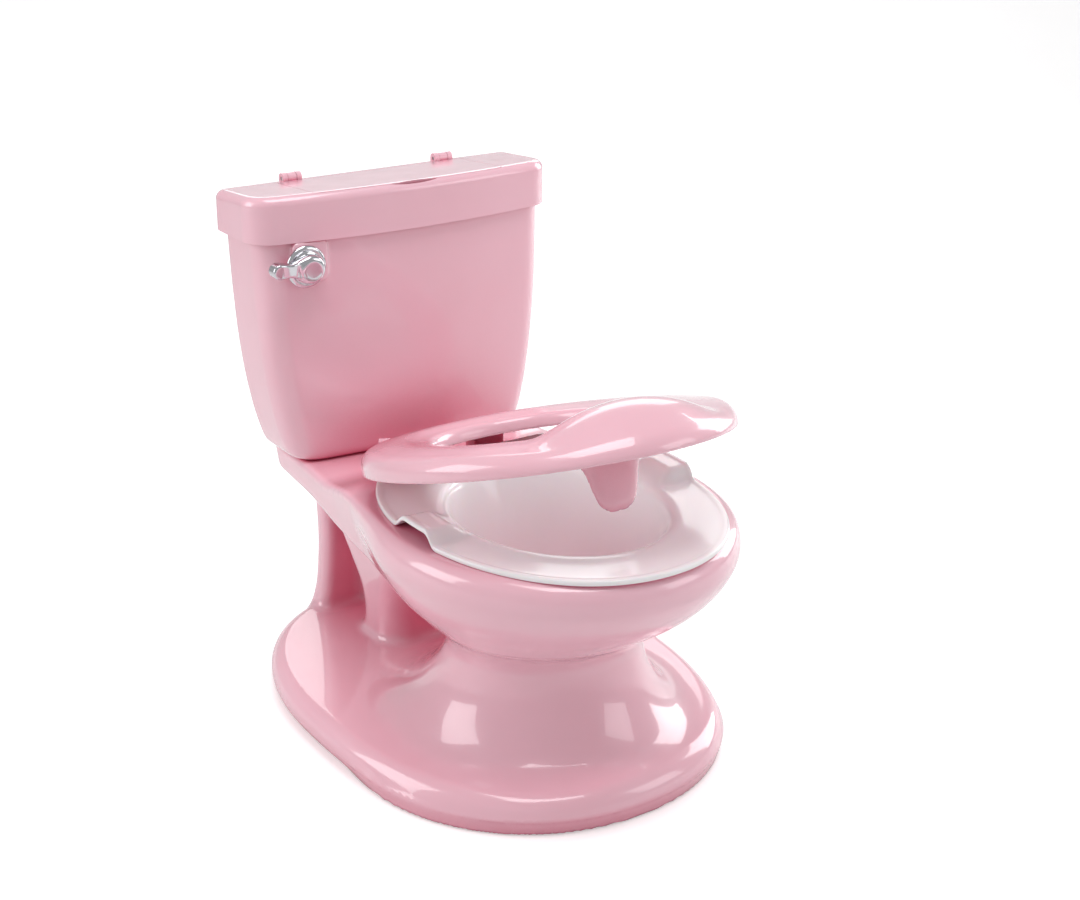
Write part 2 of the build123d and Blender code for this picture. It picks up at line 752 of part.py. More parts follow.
with BuildPart() as potty_bowl:
    with BuildSketch(Plane.XY.offset(rim_height + gap)):
        add(egg_face(pot_half_width, pot_front, 80, pot_widest, 2.1))
    extrude(amount=4)
    fillet(potty_bowl.edges().group_by(Axis.Z)[-1], 1.5)
    # straight rear edge in front of the hinge
    with BuildSketch(Plane.XY.offset(rim_height - 5)):
        with Locations((0, pot_rear + 30)):
            Rectangle(240, 60)
    extrude(amount=20, mode=Mode.SUBTRACT)
    add(scoops.part)
    add(pot_outside)
    add(pot_inside, mode=Mode.SUBTRACT)
    # finger room under the raised loops
    with BuildSketch(Plane.YZ):
        with BuildLine():
            Polyline((-89, rim_height - 4), (-82, pot_top + scoop_lift - 3), (-53, pot_top + scoop_lift - 4),
                     (-40, rim_height - 4), close=True)
        make_face()
    extrude(amount=130, both=True, mode=Mode.SUBTRACT)
potty_bowl.part.label = "potty_bowl"
export_step(potty_bowl.part, "parts/potty_bowl.step")


# ---------------------------------------------------------------- seat ring, drawn partly raised
open_angle = radians(seat_open_angle)
seat_frame = Plane(origin=(0, hinge_y, hinge_z), x_dir=(1, 0, 0), z_dir=(0, sin(open_angle), cos(open_angle)))
hole_front = -221.0
hole_rear = -52.0
hole_half_width = 69.0
hump_front = -292.0
hump_rear = -212.0
hump_half_width = 60.0
tongue_y = -229.0
bumper_spots = [(-32, -268), (32, -268)]


def seat_block(inset):
    """Oval seat without its hole, crowned on top, shrunk by inset."""
    with BuildPart() as block:
        with BuildSketch(seat_frame.offset(seat_under - (1 if inset else 0))):
            add(egg_face(127.5 - inset, seat_front + inset, seat_rear - inset, seat_widest))
        with BuildSketch(seat_frame.offset(3)):
            add(egg_face(seat_half_width - inset, seat_front + inset, seat_rear - inset, seat_widest))
        with BuildSketch(seat_frame.offset(9 - inset)):
            add(egg_face(124 - inset, seat_front + 4 + inset, seat_rear - 3 - inset, seat_widest))
        with BuildSketch(seat_frame.offset(seat_top - inset)):
            add(egg_face(108 - inset, seat_front + 20 + inset, seat_rear - 14 - inset, seat_widest))
        loft()
    return block.part


def hump_block(inset):
    """Splash guard hump on the seat's front, shrunk by inset."""
    with BuildPart() as block:
        with BuildSketch(seat_frame.offset(6)):
            add(egg_face(hump_half_width - inset, hump_front + inset, hump_rear - inset, -250))
        with BuildSketch(seat_frame.offset(18)):
            add(egg_face(40 - inset, -282 + inset, -222 - inset, -252))
        with BuildSketch(seat_frame.offset(30 - inset)):
            add(egg_face(20 - inset, -268 + inset, -236 - inset, -252))
        loft()
    return block.part


def tongue_block(inset):
    """Deflector tongue that hangs into the pot, shrunk by inset."""
    with BuildPart() as block:
        with BuildSketch(seat_frame.offset(12)):
            with Locations((0, tongue_y)):
                Ellipse(29 - inset, 9 - inset)
        with BuildSketch(seat_frame.offset(-20)):
            with Locations((0, tongue_y)):
                Ellipse(24 - inset, 6 - inset)
        with BuildSketch(seat_frame.offset(-50 + inset)):
            with Locations((0, tongue_y)):
                Ellipse(12 - inset, 4 - inset)
        loft()
    return block.part


seat_outer = seat_block(0)
seat_inner = seat_block(skin)
hump_outer = hump_block(0)
hump_inner = hump_block(skin)
tongue_outer = tongue_block(0)
tongue_inner = tongue_block(2.5)

with BuildPart() as hole_skirt:
    with BuildSketch(seat_frame.offset(seat_under)):
        add(egg_face(hole_half_width + skin, hole_front - skin, hole_rear + skin, -136, 2.1))
    extrude(amount=seat_top - seat_under - 1)

with BuildPart() as seat_ring:
    add(seat_outer)
    add(hump_outer)
    add(seat_inner, mode=Mode.SUBTRACT)
    add(hole_skirt.part)
    # the inner skirt stops short so it clears the pot's rim
    with BuildSketch(seat_frame.offset(seat_under - 2)):
        add(egg_face(hole_half_width + skin + 2, hole_front - skin - 2, hole_rear + skin + 2, -136, 2.1))
    extrude(amount=5.5, mode=Mode.SUBTRACT)
    with BuildSketch(seat_frame.offset(seat_under - 2)):
        add(egg_face(hole_half_width, hole_front, hole_rear, -136, 2.1))
    extrude(amount=40, mode=Mode.SUBTRACT)
    add(tongue_outer)
    add(hump_inner, mode=Mode.SUBTRACT)
    add(tongue_inner, mode=Mode.SUBTRACT)
    # notches in the rear wall for the hinge blocks
    with BuildSketch(seat_frame.offset(seat_under - 3)):
        with Locations((-36, 3), (36, 3)):
            Rectangle(30, 24)
    extrude(amount=8.8 + 8, mode=Mode.SUBTRACT)
    # hinge lugs at both ends of each block
    for side in hinge_side:
        for lug_x in (17.5, 54.5):
            lug_centre = (side * lug_x, hinge_y, hinge_z)
            lug_plane = Plane(origin=lug_centre, x_dir=seat_frame.y_dir, z_dir=(1, 0, 0))
            with BuildSketch(lug_plane):
                Circle(6.8)
                with Locations((0, 5)):
                    Rectangle(13.6, 10)
                Circle(hinge_pin_radius + 0.02, mode=Mode.SUBTRACT)
            extrude(amount=3, both=True)
        with BuildSketch(Plane.YZ.offset(side * 36)):
            with Locations((hinge_y, hinge_z)):
                Circle(hinge_pin_radius + 0.02)
        extrude(amount=21.6, both=True, mode=Mode.SUBTRACT)
    # sockets that hold the rubber bumpers
    with BuildSketch(seat_frame.offset(9)):
        with Locations(*bumper_spots):
            Circle(5.5)
    extrude(amount=6)
    with BuildSketch(seat_frame.offset(8)):
        with Locations(*bumper_spots):
            Circle(2.55)
    extrude(amount=4, mode=Mode.SUBTRACT)
seat_ring.part.label = "seat_ring"
export_step(seat_ring.part, "parts/seat_ring.step")

with BuildPart() as seat_hinge_pins:
    for side in hinge_side:
        with BuildSketch(Plane.YZ.offset(side * 36)):
            with Locations((hinge_y, hinge_z)):
                Circle(hinge_pin_radius)
        extrude(amount=21.4, both=True)
seat_hinge_pins.part.label = "seat_hinge_pins"
export_step(seat_hinge_pins.part, "parts/seat_hinge_pins.step")

bumper_tip = pot_top + 0.25 - hinge_z
with BuildPart() as seat_bumpers:
    with BuildSketch(seat_frame.offset(bumper_tip)):
        with Locations(*bumper_spots):
            Circle(3.5)
    extrude(amount=4)
    with BuildSketch(seat_frame.offset(bumper_tip + 4)):
        with Locations(*bumper_spots):
            Circle(5)
    extrude(amount=9 - gap - bumper_tip - 4)
    with BuildSketch(seat_frame.offset(9 - gap)):
        with Locations(*bumper_spots):
            Circle(2.5)
    extrude(amount=3)
seat_bumpers.part.label = "seat_bumpers"
export_step(seat_bumpers.part, "parts/seat_bumpers.step")
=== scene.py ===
import json
import math
import bpy
import numpy as np
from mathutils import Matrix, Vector


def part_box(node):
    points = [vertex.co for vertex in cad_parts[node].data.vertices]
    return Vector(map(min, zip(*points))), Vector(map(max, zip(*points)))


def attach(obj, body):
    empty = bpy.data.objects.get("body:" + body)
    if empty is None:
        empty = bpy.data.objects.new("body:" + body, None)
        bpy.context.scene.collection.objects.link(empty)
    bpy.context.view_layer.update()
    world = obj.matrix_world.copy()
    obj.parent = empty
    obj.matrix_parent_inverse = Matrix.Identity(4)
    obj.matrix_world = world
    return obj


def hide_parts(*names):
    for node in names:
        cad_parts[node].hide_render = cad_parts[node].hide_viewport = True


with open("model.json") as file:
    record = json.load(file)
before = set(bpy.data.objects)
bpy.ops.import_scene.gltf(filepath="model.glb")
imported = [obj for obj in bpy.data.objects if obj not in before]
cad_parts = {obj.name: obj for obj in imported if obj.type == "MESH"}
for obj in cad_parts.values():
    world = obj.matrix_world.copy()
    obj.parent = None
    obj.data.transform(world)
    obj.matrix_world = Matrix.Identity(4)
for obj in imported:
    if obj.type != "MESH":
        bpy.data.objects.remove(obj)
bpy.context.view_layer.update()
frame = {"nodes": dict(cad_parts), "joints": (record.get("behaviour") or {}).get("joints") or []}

# Shapes are in millimetres, and a mesh is scaled to metres when it is made.
# Materials, lights and the camera are in metres.
MM = 0.001


# ------------------------------------------------------------------ places taken from the frame
def node_box(node):
    """Lowest and highest corner of a CAD node, in millimetres."""
    low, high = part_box(node)
    return np.array(low) / MM, np.array(high) / MM


def joint(name):
    return next(j for j in frame["joints"] if j["name"] == name)


def pivot(name):
    """Where a joint turns, in millimetres."""
    return np.array(joint(name)["pos_m"], float) / MM


BODY_LOW, BODY_HIGH = node_box("body_shell")
TANK_LOW, TANK_HIGH = node_box("tank_shell")
PLATE_LOW, PLATE_HIGH = node_box("flush_escutcheon")
LEVER_LOW, LEVER_HIGH = node_box("flush_lever")
DOOR_LOW, DOOR_HIGH = node_box("battery_door")
HINGE = pivot("seat_hinge")
SEAT_TILT = math.radians(-joint("seat_hinge")["range_deg"][0])
LEVER = pivot("flush_handle_turn")


# ------------------------------------------------------------------ small maths on distance fields
def smooth_min(a, b, k):
    """Union of two fields, blended over a width k."""
    h = np.maximum(k - np.abs(a - b), 0.0) / k
    return np.minimum(a, b) - h * h * k * 0.25


def smooth_max(a, b, k):
    """Intersection of two fields, blended over a width k."""
    return -smooth_min(-a, -b, k)


def ease(t):
    """Slow start and slow end between 0 and 1."""
    t = np.clip(t, 0.0, 1.0)
    return t * t * (3 - 2 * t)


def curve(t, knots, values):
    """Smooth curve through (knots, values), level beyond the ends."""
    knots = np.asarray(knots, float)
    values = np.asarray(values, float)
    slopes = np.gradient(values, knots)
    t = np.clip(t, knots[0], knots[-1])
    i = np.clip(np.searchsorted(knots, t) - 1, 0, len(knots) - 2)
    h = knots[i + 1] - knots[i]
    s = (t - knots[i]) / h
    start = (1 + 2 * s) * (1 - s) ** 2 * values[i] + s * (1 - s) ** 2 * h * slopes[i]
    end = s * s * (3 - 2 * s) * values[i + 1] + s * s * (s - 1) * h * slopes[i + 1]
    return start + end


def egg(x, y, half, front, rear, mid, power=2.0):
    """Near-distance to an egg outline, negative inside: widest at y = mid, from front to rear."""
    reach = np.where(y > mid, rear - mid, mid - front)
    u = np.abs(x) / half + 1e-6
    v = np.abs(y - mid) / reach + 1e-6
    f = (u ** power + v ** power) ** (1 / power)
    steepness = f ** (1 - power) * np.hypot(u ** (power - 1) / half, v ** (power - 1) / reach)
    return (f - 1) / steepness


def rounded(a, b, radius):
    """Corner of a given radius between two half-spaces a and b."""
    p, q = a + radius, b + radius
    return np.hypot(np.maximum(p, 0), np.maximum(q, 0)) + np.minimum(np.maximum(p, q), 0) - radius


def slab(value, centre, half):
    """Band of values within half of the centre."""
    return np.abs(value - centre) - half


# ------------------------------------------------------------------ meshing
def new_object(name, verts, faces, place=None):
    """Smooth-shaded object from millimetre vertices and faces of any size."""
    verts = np.asarray(verts, float)
    if place is not None:
        verts = place(verts)
    mesh = bpy.data.meshes.new(name)
    mesh.from_pydata((verts * MM).tolist(), [], faces)
    mesh.update()
    mesh.validate()
    mesh.polygons.foreach_set("use_smooth", np.ones(len(mesh.polygons), bool))
    obj = bpy.data.objects.new(name, mesh)
    bpy.context.scene.collection.objects.link(obj)
    return obj


def cell_corners(grid, corner):
    """The grid's values at one corner (each part 0 or 1) of every cell."""
    return grid[tuple(slice(c, n - 1 + c) for c, n in zip(corner, grid.shape))]


def cell_vertices(grid, active):
    """One vertex per active cell, at the mean of its edges' crossings, in cell units."""
    cells = np.argwhere(active)
    total = np.zeros((len(cells), 3))
    hits = np.zeros(len(cells))
    for corner in np.ndindex(2, 2, 2):
        for axis in range(3):
            if corner[axis]:
                continue
            other = list(corner)
            other[axis] = 1
            a = cell_corners(grid, corner)[active]
            b = cell_corners(grid, other)[active]
            cross = (a < 0) != (b < 0)
            point = np.tile(np.array(corner, float), (len(cells), 1))
            point[:, axis] = np.where(cross, a / np.where(cross, a - b, 1.0), 0.0)
            total += point * cross[:, None]
            hits += cross
    return cells + total / hits[:, None]


def cell_quads(inside, ids):
    """A quad round every grid edge that crosses the surface, facing outwards."""
    quads = []
    for axis in range(3):
        u, v = (axis + 1) % 3, (axis + 2) % 3
        low = [slice(None)] * 3
        high = [slice(None)] * 3
        low[axis], high[axis] = slice(0, -1), slice(1, None)
        a, b = inside[tuple(low)], inside[tuple(high)]
        edges = np.argwhere(a != b)
        within = (edges[:, u] > 0) & (edges[:, v] > 0)
        within &= (edges[:, u] < inside.shape[u] - 1) & (edges[:, v] < inside.shape[v] - 1)
        edges = edges[within]
        ring = []
        for du, dv in ((-1, -1), (0, -1), (0, 0), (-1, 0)):
            cell = edges.copy()
            cell[:, u] += du
            cell[:, v] += dv
            ring.append(ids[tuple(cell.T)])
        quad = np.stack(ring, 1)
        backward = ~a[tuple(edges.T)]
        quad[backward] = quad[backward][:, ::-1]
        quads.append(quad)
    quads = np.concatenate(quads)
    return quads[(quads >= 0).all(1)]


def slide_on(verts, field, step, rounds=4, probe=0.25):
    """Moves the vertices that are near the field's zero level on to it."""
    for _ in range(rounds):
        value = field(*verts.T)
        slope = np.empty_like(verts)
        for axis in range(3):
            nudge = np.zeros(3)
            nudge[axis] = probe
            slope[:, axis] = (field(*(verts + nudge).T) - field(*(verts - nudge).T)) / (2 * probe)
        steep = np.maximum((slope * slope).sum(1), 0.05)
        near = np.abs(value) < 0.45 * step * np.sqrt(steep)
        move = (value / steep)[:, None] * slope * near[:, None]
        verts = verts - np.clip(move, -step / 2, step / 2)
    return verts


def solid_mesh(field, low, high, step, cut=None):
    """Quads over the zero level of field(x, y, z). cut(values, x, y, z, step) may hollow the samples."""
    axes = [np.arange(a, b + step, step) for a, b in zip(low, high)]
    X, Y, Z = np.meshgrid(*axes, indexing="ij")
    values = field(X, Y, Z)
    if cut is not None:
        values = cut(values, X, Y, Z, step)
    inside = values < 0
    count = sum(cell_corners(inside, corner).astype(np.int8) for corner in np.ndindex(2, 2, 2))
    active = (count > 0) & (count < 8)
    ids = -np.ones(active.shape, np.int64)
    ids[active] = np.arange(active.sum())
    verts = cell_vertices(values, active) * step + np.array(low, float)
    quads = cell_quads(inside, ids)
    return slide_on(verts, field, step), quads.tolist()


def shell_cut(open_field, wall, extra):
    """Hollows a sampled solid to an even wall, open wherever open_field is, then applies extra."""
    def cut(values, X, Y, Z, step):
        depth = open_field(X, Y, Z)
        gx, gy, gz = np.gradient(depth, step)
        depth = depth / np.clip(np.sqrt(gx ** 2 + gy ** 2 + gz ** 2), 0.3, 1.3)
        return extra(np.maximum(values, -(depth + wall)), X, Y, Z)
    return cut


def moulding(name, field, open_field, extra, low, high, grid, walls, place=None):
    """Hollow moulded piece. grid and walls are (full, coarse) pairs; only the full ones are used, and a
    coarse grid would need a thicker wall.
    """
    step, wall = grid[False], walls[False]
    verts, quads = solid_mesh(field, low, high, step, shell_cut(open_field, wall, extra))
    return new_object(name, verts, quads, place)


def finish_piece(obj, body, slot_name, node):
    """Mounts a finished piece on its body, in place of its CAD node."""
    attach(obj, body)
    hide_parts(node)
    obj.data.materials.clear()
    obj.data.materials.append(bpy.data.materials[slot_name])


# ------------------------------------------------------------------ body
FOOT_HALF, FOOT_REAR = BODY_HIGH[0], BODY_HIGH[1]
FOOT_FRONT, FOOT_WIDEST, FOOT_SQUARENESS = -187.5, 27.5, 2.37
FOOT_BOTTOM, FOOT_TOP, FOOT_EDGE = BODY_LOW[2], 29.0, 13.0
FOOT_RIM_WIDTH = 18.0          # solid rim round the open underside
RIM_TOP, DECK_TOP = 200.0, 188.0
RIM_EDGE = 5.5

# bowl and neck: height, half width, front, rear
BOWL = ((12, 146, -186, 108), (26, 120, -176, 78), (42, 99, -158, 50), (62, 84.5, -143, 28),
        (82, 77, -135, 14), (95, 75.5, -133, 10), (108, 80, -138, 16), (125, 97, -163, 40),
        (145, 115, -190, 60), (165, 127, -208, 70), (182, 132, -215, 76), (192, 130.5, -213.5, 74),
        (200, 126, -209, 66))
MOUTH = dict(half=100, front=-192, rear=34, mid=-68)

# deck from front to back: y, and its half width, side slope or underside there
DECK_HALF = ((-100, 94), (-60, 112), (-30, 118.5), (0, 119.8), (38, 115.5), (75, 108.5), (122, 102.5),
             (165, 99), (205, 96))
DECK_SIDE_SLOPE = ((-75, 0.34), (-20, 0.335), (40, 0.26), (110, 0.12), (200, 0.08))
DECK_UNDERSIDE = ((-80, 135), (-30, 136), (0, 139), (41, 145), (75, 151), (108, 158), (160, 162), (206, 163))
DECK_START, DECK_BACK, DECK_BACK_SLOPE = -95.0, 206.0, 0.12

# columns between foot and deck: height, half width, front, rear
TRAPWAY = ((18, 54, 82, 152), (30, 51.5, 86, 148.5), (50, 50.5, 86, 147), (70, 52, 80, 150),
           (93, 56, 70, 158), (120, 60, 58, 172), (150, 62, 46, 188))
REAR_COLUMN = ((18, 68, 177, 206), (30, 65, 179.5, 205), (45, 61.5, 181, 203.5), (70, 59, 181.5, 202.5),
               (120, 58.5, 181, 202.5), (165, 63, 178, 203))
WEB_HALF, WEB_MIDDLE, WEB_REACH = 22.0, 165.0, 30.0

# seat hinge blocks on the deck
BLOCK_X, BLOCK_HALF, BLOCK_RADIUS = 36.0, 14.0, 8.0
PIN_BORE = 3.1


def along(t, stations):
    """Value at t of a smooth curve given as (t, value) stations."""
    return curve(t, *zip(*stations))


def foot_outline(x, y):
    return egg(x, y, FOOT_HALF, FOOT_FRONT, FOOT_REAR, FOOT_WIDEST, FOOT_SQUARENESS)


def foot_field(x, y, z):
    height = slab(z, (FOOT_TOP + FOOT_BOTTOM) / 2, (FOOT_TOP - FOOT_BOTTOM) / 2)
    return rounded(foot_outline(x, y), height, FOOT_EDGE)


def bowl_field(x, y, z):
    """Side surface of the neck and bowl, without a top."""
    heights, halves, fronts, rears = zip(*BOWL)
    half = curve(z, heights, halves)
    widest = -50 - 18 * ease((z - 20) / 120)
    outline = egg(x, y, half, curve(z, heights, fronts), curve(z, heights, rears), widest)
    slope = (curve(z + 1, heights, halves) - curve(z - 1, heights, halves)) / 2
    return outline / np.sqrt(1 + slope ** 2)


def rim_height(y):
    """Height of the body's upper face: level round the bowl, lower under the tank."""
    return DECK_TOP + (RIM_TOP - DECK_TOP) * ease((96 - y) / 72)


def deck_field(x, y, z):
    """Side, back and underside of the deck, without a top."""
    drop = rim_height(y) - z
    slope = along(y, DECK_SIDE_SLOPE)
    side = (np.abs(x) - along(y, DECK_HALF) + slope * drop) / np.sqrt(1 + slope ** 2)
    back = (y - DECK_BACK + DECK_BACK_SLOPE * drop) / 1.01
    wall = smooth_max(side, back, 24)
    wall = smooth_max(wall, DECK_START - y, 8)
    underside = (along(y, DECK_UNDERSIDE) - z) / 1.01
    return smooth_max(wall, underside, 8)


def column(x, y, z, stations, edge, top):
    """Upright column whose section changes with height."""
    heights, halves, fronts, rears = zip(*stations)
    front = curve(z, heights, fronts)
    rear = curve(z, heights, rears)
    across = slab(x, 0, curve(z, heights, halves))
    section = rounded(across, slab(y, (front + rear) / 2, (rear - front) / 2), edge)
    return np.maximum(section, z - top)


def hinge_block_field(x, y, z):
    """Pair of blocks with round tops, centred on the seat's hinge line."""
    to_axis = np.hypot(y - HINGE[1], np.maximum(z - HINGE[2], 0))
    block = smooth_max(slab(np.abs(x), BLOCK_X, BLOCK_HALF), to_axis - BLOCK_RADIUS, 2)
    return np.maximum(block, DECK_TOP - 13 - z)


def body_outer(x, y, z):
    upper = smooth_min(bowl_field(x, y, z), deck_field(x, y, z), 14)
    upper = rounded(upper, z - rim_height(y), RIM_EDGE)
    web = np.maximum(smooth_max(np.abs(x) - WEB_HALF, slab(y, WEB_MIDDLE, WEB_REACH), 4), z - 165)
    columns = smooth_min(column(x, y, z, TRAPWAY, 24, 165), web, 16)
    columns = smooth_min(columns, column(x, y, z, REAR_COLUMN, 9, 175), 14)
    solid = smooth_min(foot_field(x, y, z), columns, 7.5)
    solid = smooth_min(solid, upper, 10)
    solid = smooth_min(solid, hinge_block_field(x, y, z), 3)
    solid = smooth_max(solid, PIN_BORE - np.hypot(y - HINGE[1], z - HINGE[2]), 1)
    return np.maximum(solid, FOOT_BOTTOM - z)


def body_openings(values, X, Y, Z):
    """Mouth of the bowl and the open underside of the foot."""
    mouth = np.maximum(egg(X, Y, **MOUTH), 150 - Z)
    underside = np.maximum(foot_outline(X, Y) + FOOT_RIM_WIDTH, Z - 9)
    return smooth_max(values, -np.minimum(mouth, underside), 1.5)


body = moulding("body_shell_moulding", body_outer, body_outer, body_openings,
                np.round(BODY_LOW) - 4, np.round(BODY_HIGH) + 4, grid=(2.2, 3.0), walls=(4.7, 5.8))
finish_piece(body, "body", "pink_plastic", "body_shell")


# ------------------------------------------------------------------ tank
TANK_HALF = ((188, 104.5), (198, 108.5), (215, 113.5), (240, 118.5), (275, 123), (320, 126), (380, 128))
TANK_BACK = ((188, 192), (260, 195.5), (380, 198))
TANK_FRONT = 120.8
TANK_FRONT_BOW = 11.0 / 127 ** 2       # the front bows back by 11 mm at the corners
TANK_CORNER, TANK_BACK_CORNER = 20.0, 10.0

# raised pad behind the flush handle
PAD_X, PAD_HALF_WIDTH = -90.0, 14.5
PAD_Z, PAD_HALF_HEIGHT, PAD_CORNER = 352.5, 16.5, 6.0
PAD_FACE, PAD_TOP = 123.6, 367.8
SHAFT_HOLE = 6.2
DOOR_GAP = 0.2


def pad_field(x, y, z):
    outline = rounded(slab(x, PAD_X, PAD_HALF_WIDTH), slab(z, PAD_Z, PAD_HALF_HEIGHT), PAD_CORNER)
    pad = smooth_max(np.maximum(outline, PAD_FACE - y), y - 140, 1)
    return np.maximum(pad, z - PAD_TOP)


def tank_open(x, y, z):
    """The tank's outside without its top face."""
    side = (np.abs(x) - along(z, TANK_HALF)) / 1.02
    bow_slope = 2 * TANK_FRONT_BOW * x
    front = TANK_FRONT + 1.6 * ease((z - 300) / 80) + TANK_FRONT_BOW * x ** 2
    wall = smooth_max(side, (front - y) / np.sqrt(1 + bow_slope ** 2), TANK_CORNER)
    wall = smooth_max(wall, y - along(z, TANK_BACK), TANK_BACK_CORNER)
    wall = smooth_min(wall, pad_field(x, y, z), 2.5)
    solid = smooth_max(wall, TANK_LOW[2] - z, 8)
    shaft_hole = np.minimum(SHAFT_HOLE - np.hypot(x - LEVER[0], z - LEVER[2]), 150 - y)
    return smooth_max(solid, shaft_hole, 0.8)


def tank_outer(x, y, z):
    return smooth_max(tank_open(x, y, z), z - TANK_HIGH[2], 1.2)


def door_opening(values, X, Y, Z):
    """Opening for the battery door, through the rear wall only."""
    middle = (DOOR_LOW + DOOR_HIGH) / 2
    half = (DOOR_HIGH - DOOR_LOW) / 2 + DOOR_GAP
    opening = np.maximum(slab(X, middle[0], half[0]), slab(Z, middle[2], half[2]))
    return np.maximum(values, -np.maximum(opening, 186 - Y))


tank = moulding("tank_shell_moulding", tank_outer, tank_open, door_opening,
                np.round(TANK_LOW) - 3, np.round(TANK_HIGH) + 3, grid=(1.9, 2.4), walls=(3.6, 4.6))
finish_piece(tank, "body", "pink_plastic", "tank_shell")


# ------------------------------------------------------------------ seat, built along its own plane
# The seat's own axes start on its hinge: y runs to the rear of the seat and z out of its upper face.
SEAT = dict(half=128.5, front=-298, rear=6, mid=-144, power=2.04)
SEAT_HOLE = dict(half=69, front=-221, rear=-52, mid=-137, power=2.25)
SEAT_CROWN = 13.0
SEAT_EDGE, HOLE_EDGE = 11.0, 7.0
SKIRT_BOTTOM, HOLE_SKIRT_BOTTOM, HOLE_SKIRT_WIDTH = -6.4, -1.5, 5.5
DOME_CENTRE, DOME_RADII = (0, -249, 2), (57, 37, 26.5)

# deflector tongue, by height
TONGUE_HALF = ((-52, 9), (-44, 14.5), (-34, 18.5), (-18, 23.5), (-4, 33), (14, 44))
TONGUE_THICK = ((-52, 3.6), (-30, 5), (0, 7), (14, 9))
TONGUE_Y = ((-50, -226.5), (0, -228), (14, -230))
TONGUE_TIP, TONGUE_CUP = -50.0, 3.2

LUG_X, LUG_HALF, LUG_RADIUS = (17.5, 54.5), 3.0, 6.8
NOTCH_HALF = BLOCK_HALF + 1
BUMPER_X, BUMPER_Y, BUMPER_HOLE, SOCKET_RADIUS = 32.0, -268.0, 2.6, 5.5


def seat_place(verts):
    """From the seat's own axes to the frame, raised as it is at rest."""
    c, s = math.cos(SEAT_TILT), math.sin(SEAT_TILT)
    x, y, z = verts.T
    return np.stack([x, HINGE[1] + y * c + z * s, HINGE[2] - y * s + z * c], 1)


def seat_ring_field(x, y, z):
    """Ring with a crown that falls towards the hole, the outer edge and the front."""
    outline = egg(x, y, **SEAT)
    hole = egg(x, y, **SEAT_HOLE)
    fall = 3.5 * ease((26 - hole) / 26) + 2.8 * ease((outline + 30) / 30) + 4.5 * ease((-200 - y) / 90)
    top = z - SEAT_CROWN + fall
    return smooth_max(rounded(outline, top, SEAT_EDGE), rounded(-hole, top, HOLE_EDGE), 2)


def seat_tongue_field(x, y, z):
    half = along(z, TONGUE_HALF)
    thick = along(z, TONGUE_THICK)
    u = np.abs(x) / half
    v = (y - along(z, TONGUE_Y) - TONGUE_CUP * (x / 30) ** 2) / thick
    k = np.hypot(u, v) + 1e-6
    section = (k - 1) * k / (np.hypot(u / half, v / thick) + 1e-6)
    return smooth_max(section, TONGUE_TIP - z, 9)


def seat_dome_field(x, y, z):
    """Splash-guard hump at the seat's front."""
    scaled = [(p - c) / r for p, c, r in zip((x, y, z), DOME_CENTRE, DOME_RADII)]
    k = np.sqrt(sum(s ** 2 for s in scaled)) + 1e-6
    slope = np.sqrt(sum((s / r) ** 2 for s, r in zip(scaled, DOME_RADII))) + 1e-6
    return (k - 1) * k / slope


def seat_open(x, y, z):
    """The seat's outside without its underside."""
    humped = smooth_min(seat_ring_field(x, y, z), seat_dome_field(x, y, z), 20)
    return smooth_max(humped, rounded(-egg(x, y, **SEAT_HOLE), z - 60, 3), 5)


def seat_outer(x, y, z):
    solid = smooth_max(seat_open(x, y, z), SKIRT_BOTTOM - z, 1.4)
    # the skirt round the hole stops short of the pot's rim
    near_hole = HOLE_SKIRT_WIDTH - egg(x, y, **SEAT_HOLE)
    solid = smooth_max(solid, np.minimum(near_hole, HOLE_SKIRT_BOTTOM - z), 1.2)
    # notches that clear the hinge blocks
    notch = np.maximum(slab(np.abs(x), BLOCK_X, NOTCH_HALF), -9 - y)
    solid = smooth_max(solid, -np.maximum(notch, z - 8.8), 1)
    return smooth_min(solid, np.maximum(seat_tongue_field(x, y, z), z - 12), 7)


def seat_details(values, X, Y, Z):
    """Hinge lugs, a solid tongue and the bumpers' sockets, then holes for the pins and bumpers."""
    across = np.abs(X)
    lug = np.minimum(np.abs(across - LUG_X[0]), np.abs(across - LUG_X[1])) - LUG_HALF
    lug = np.maximum(lug, np.hypot(Y, np.minimum(Z, 0)) - LUG_RADIUS)
    values = np.minimum(values, np.maximum(lug, Z - 9))
    tongue = np.maximum(seat_tongue_field(X, Y, Z), Z - 4)
    values = np.minimum(values, np.maximum(tongue, seat_outer(X, Y, Z)))
    to_bumper = np.hypot(across - BUMPER_X, Y - BUMPER_Y)
    socket = np.maximum(to_bumper - SOCKET_RADIUS, slab(Z, 14, 5))
    values = np.minimum(values, np.maximum(socket, seat_open(X, Y, Z)))
    values = np.maximum(values, np.minimum(PIN_BORE - np.hypot(Y, Z), 60 - across))
    return np.maximum(values, np.minimum(BUMPER_HOLE - to_bumper, 13 - Z))


seat = moulding("seat_ring_moulding", seat_outer, seat_open, seat_details,
                (-132, -302, -54), (132, 10, 36), grid=(1.8, 2.4), walls=(3.6, 4.6), place=seat_place)
finish_piece(seat, "seat", "pink_plastic", "seat_ring")


# ------------------------------------------------------------------ pieces skinned over closed loops
def skin(name, loops, place=None):
    """Skins equal closed loops (each N x 3); the first and last end in a centre point."""
    n = len(loops[0])
    faces = []
    for r in range(len(loops) - 1):
        for i in range(n):
            j = (i + 1) % n
            faces.append((r * n + i, r * n + j, (r + 1) * n + j, (r + 1) * n + i))
    first = len(loops) * n
    last_loop = first - n
    for i in range(n):
        j = (i + 1) % n
        faces.append((first, j, i))
        faces.append((first + 1, last_loop + i, last_loop + j))
    ends = [loops[0].mean(0), loops[-1].mean(0)]
    return new_object(name, np.concatenate([*loops, ends]), faces, place)


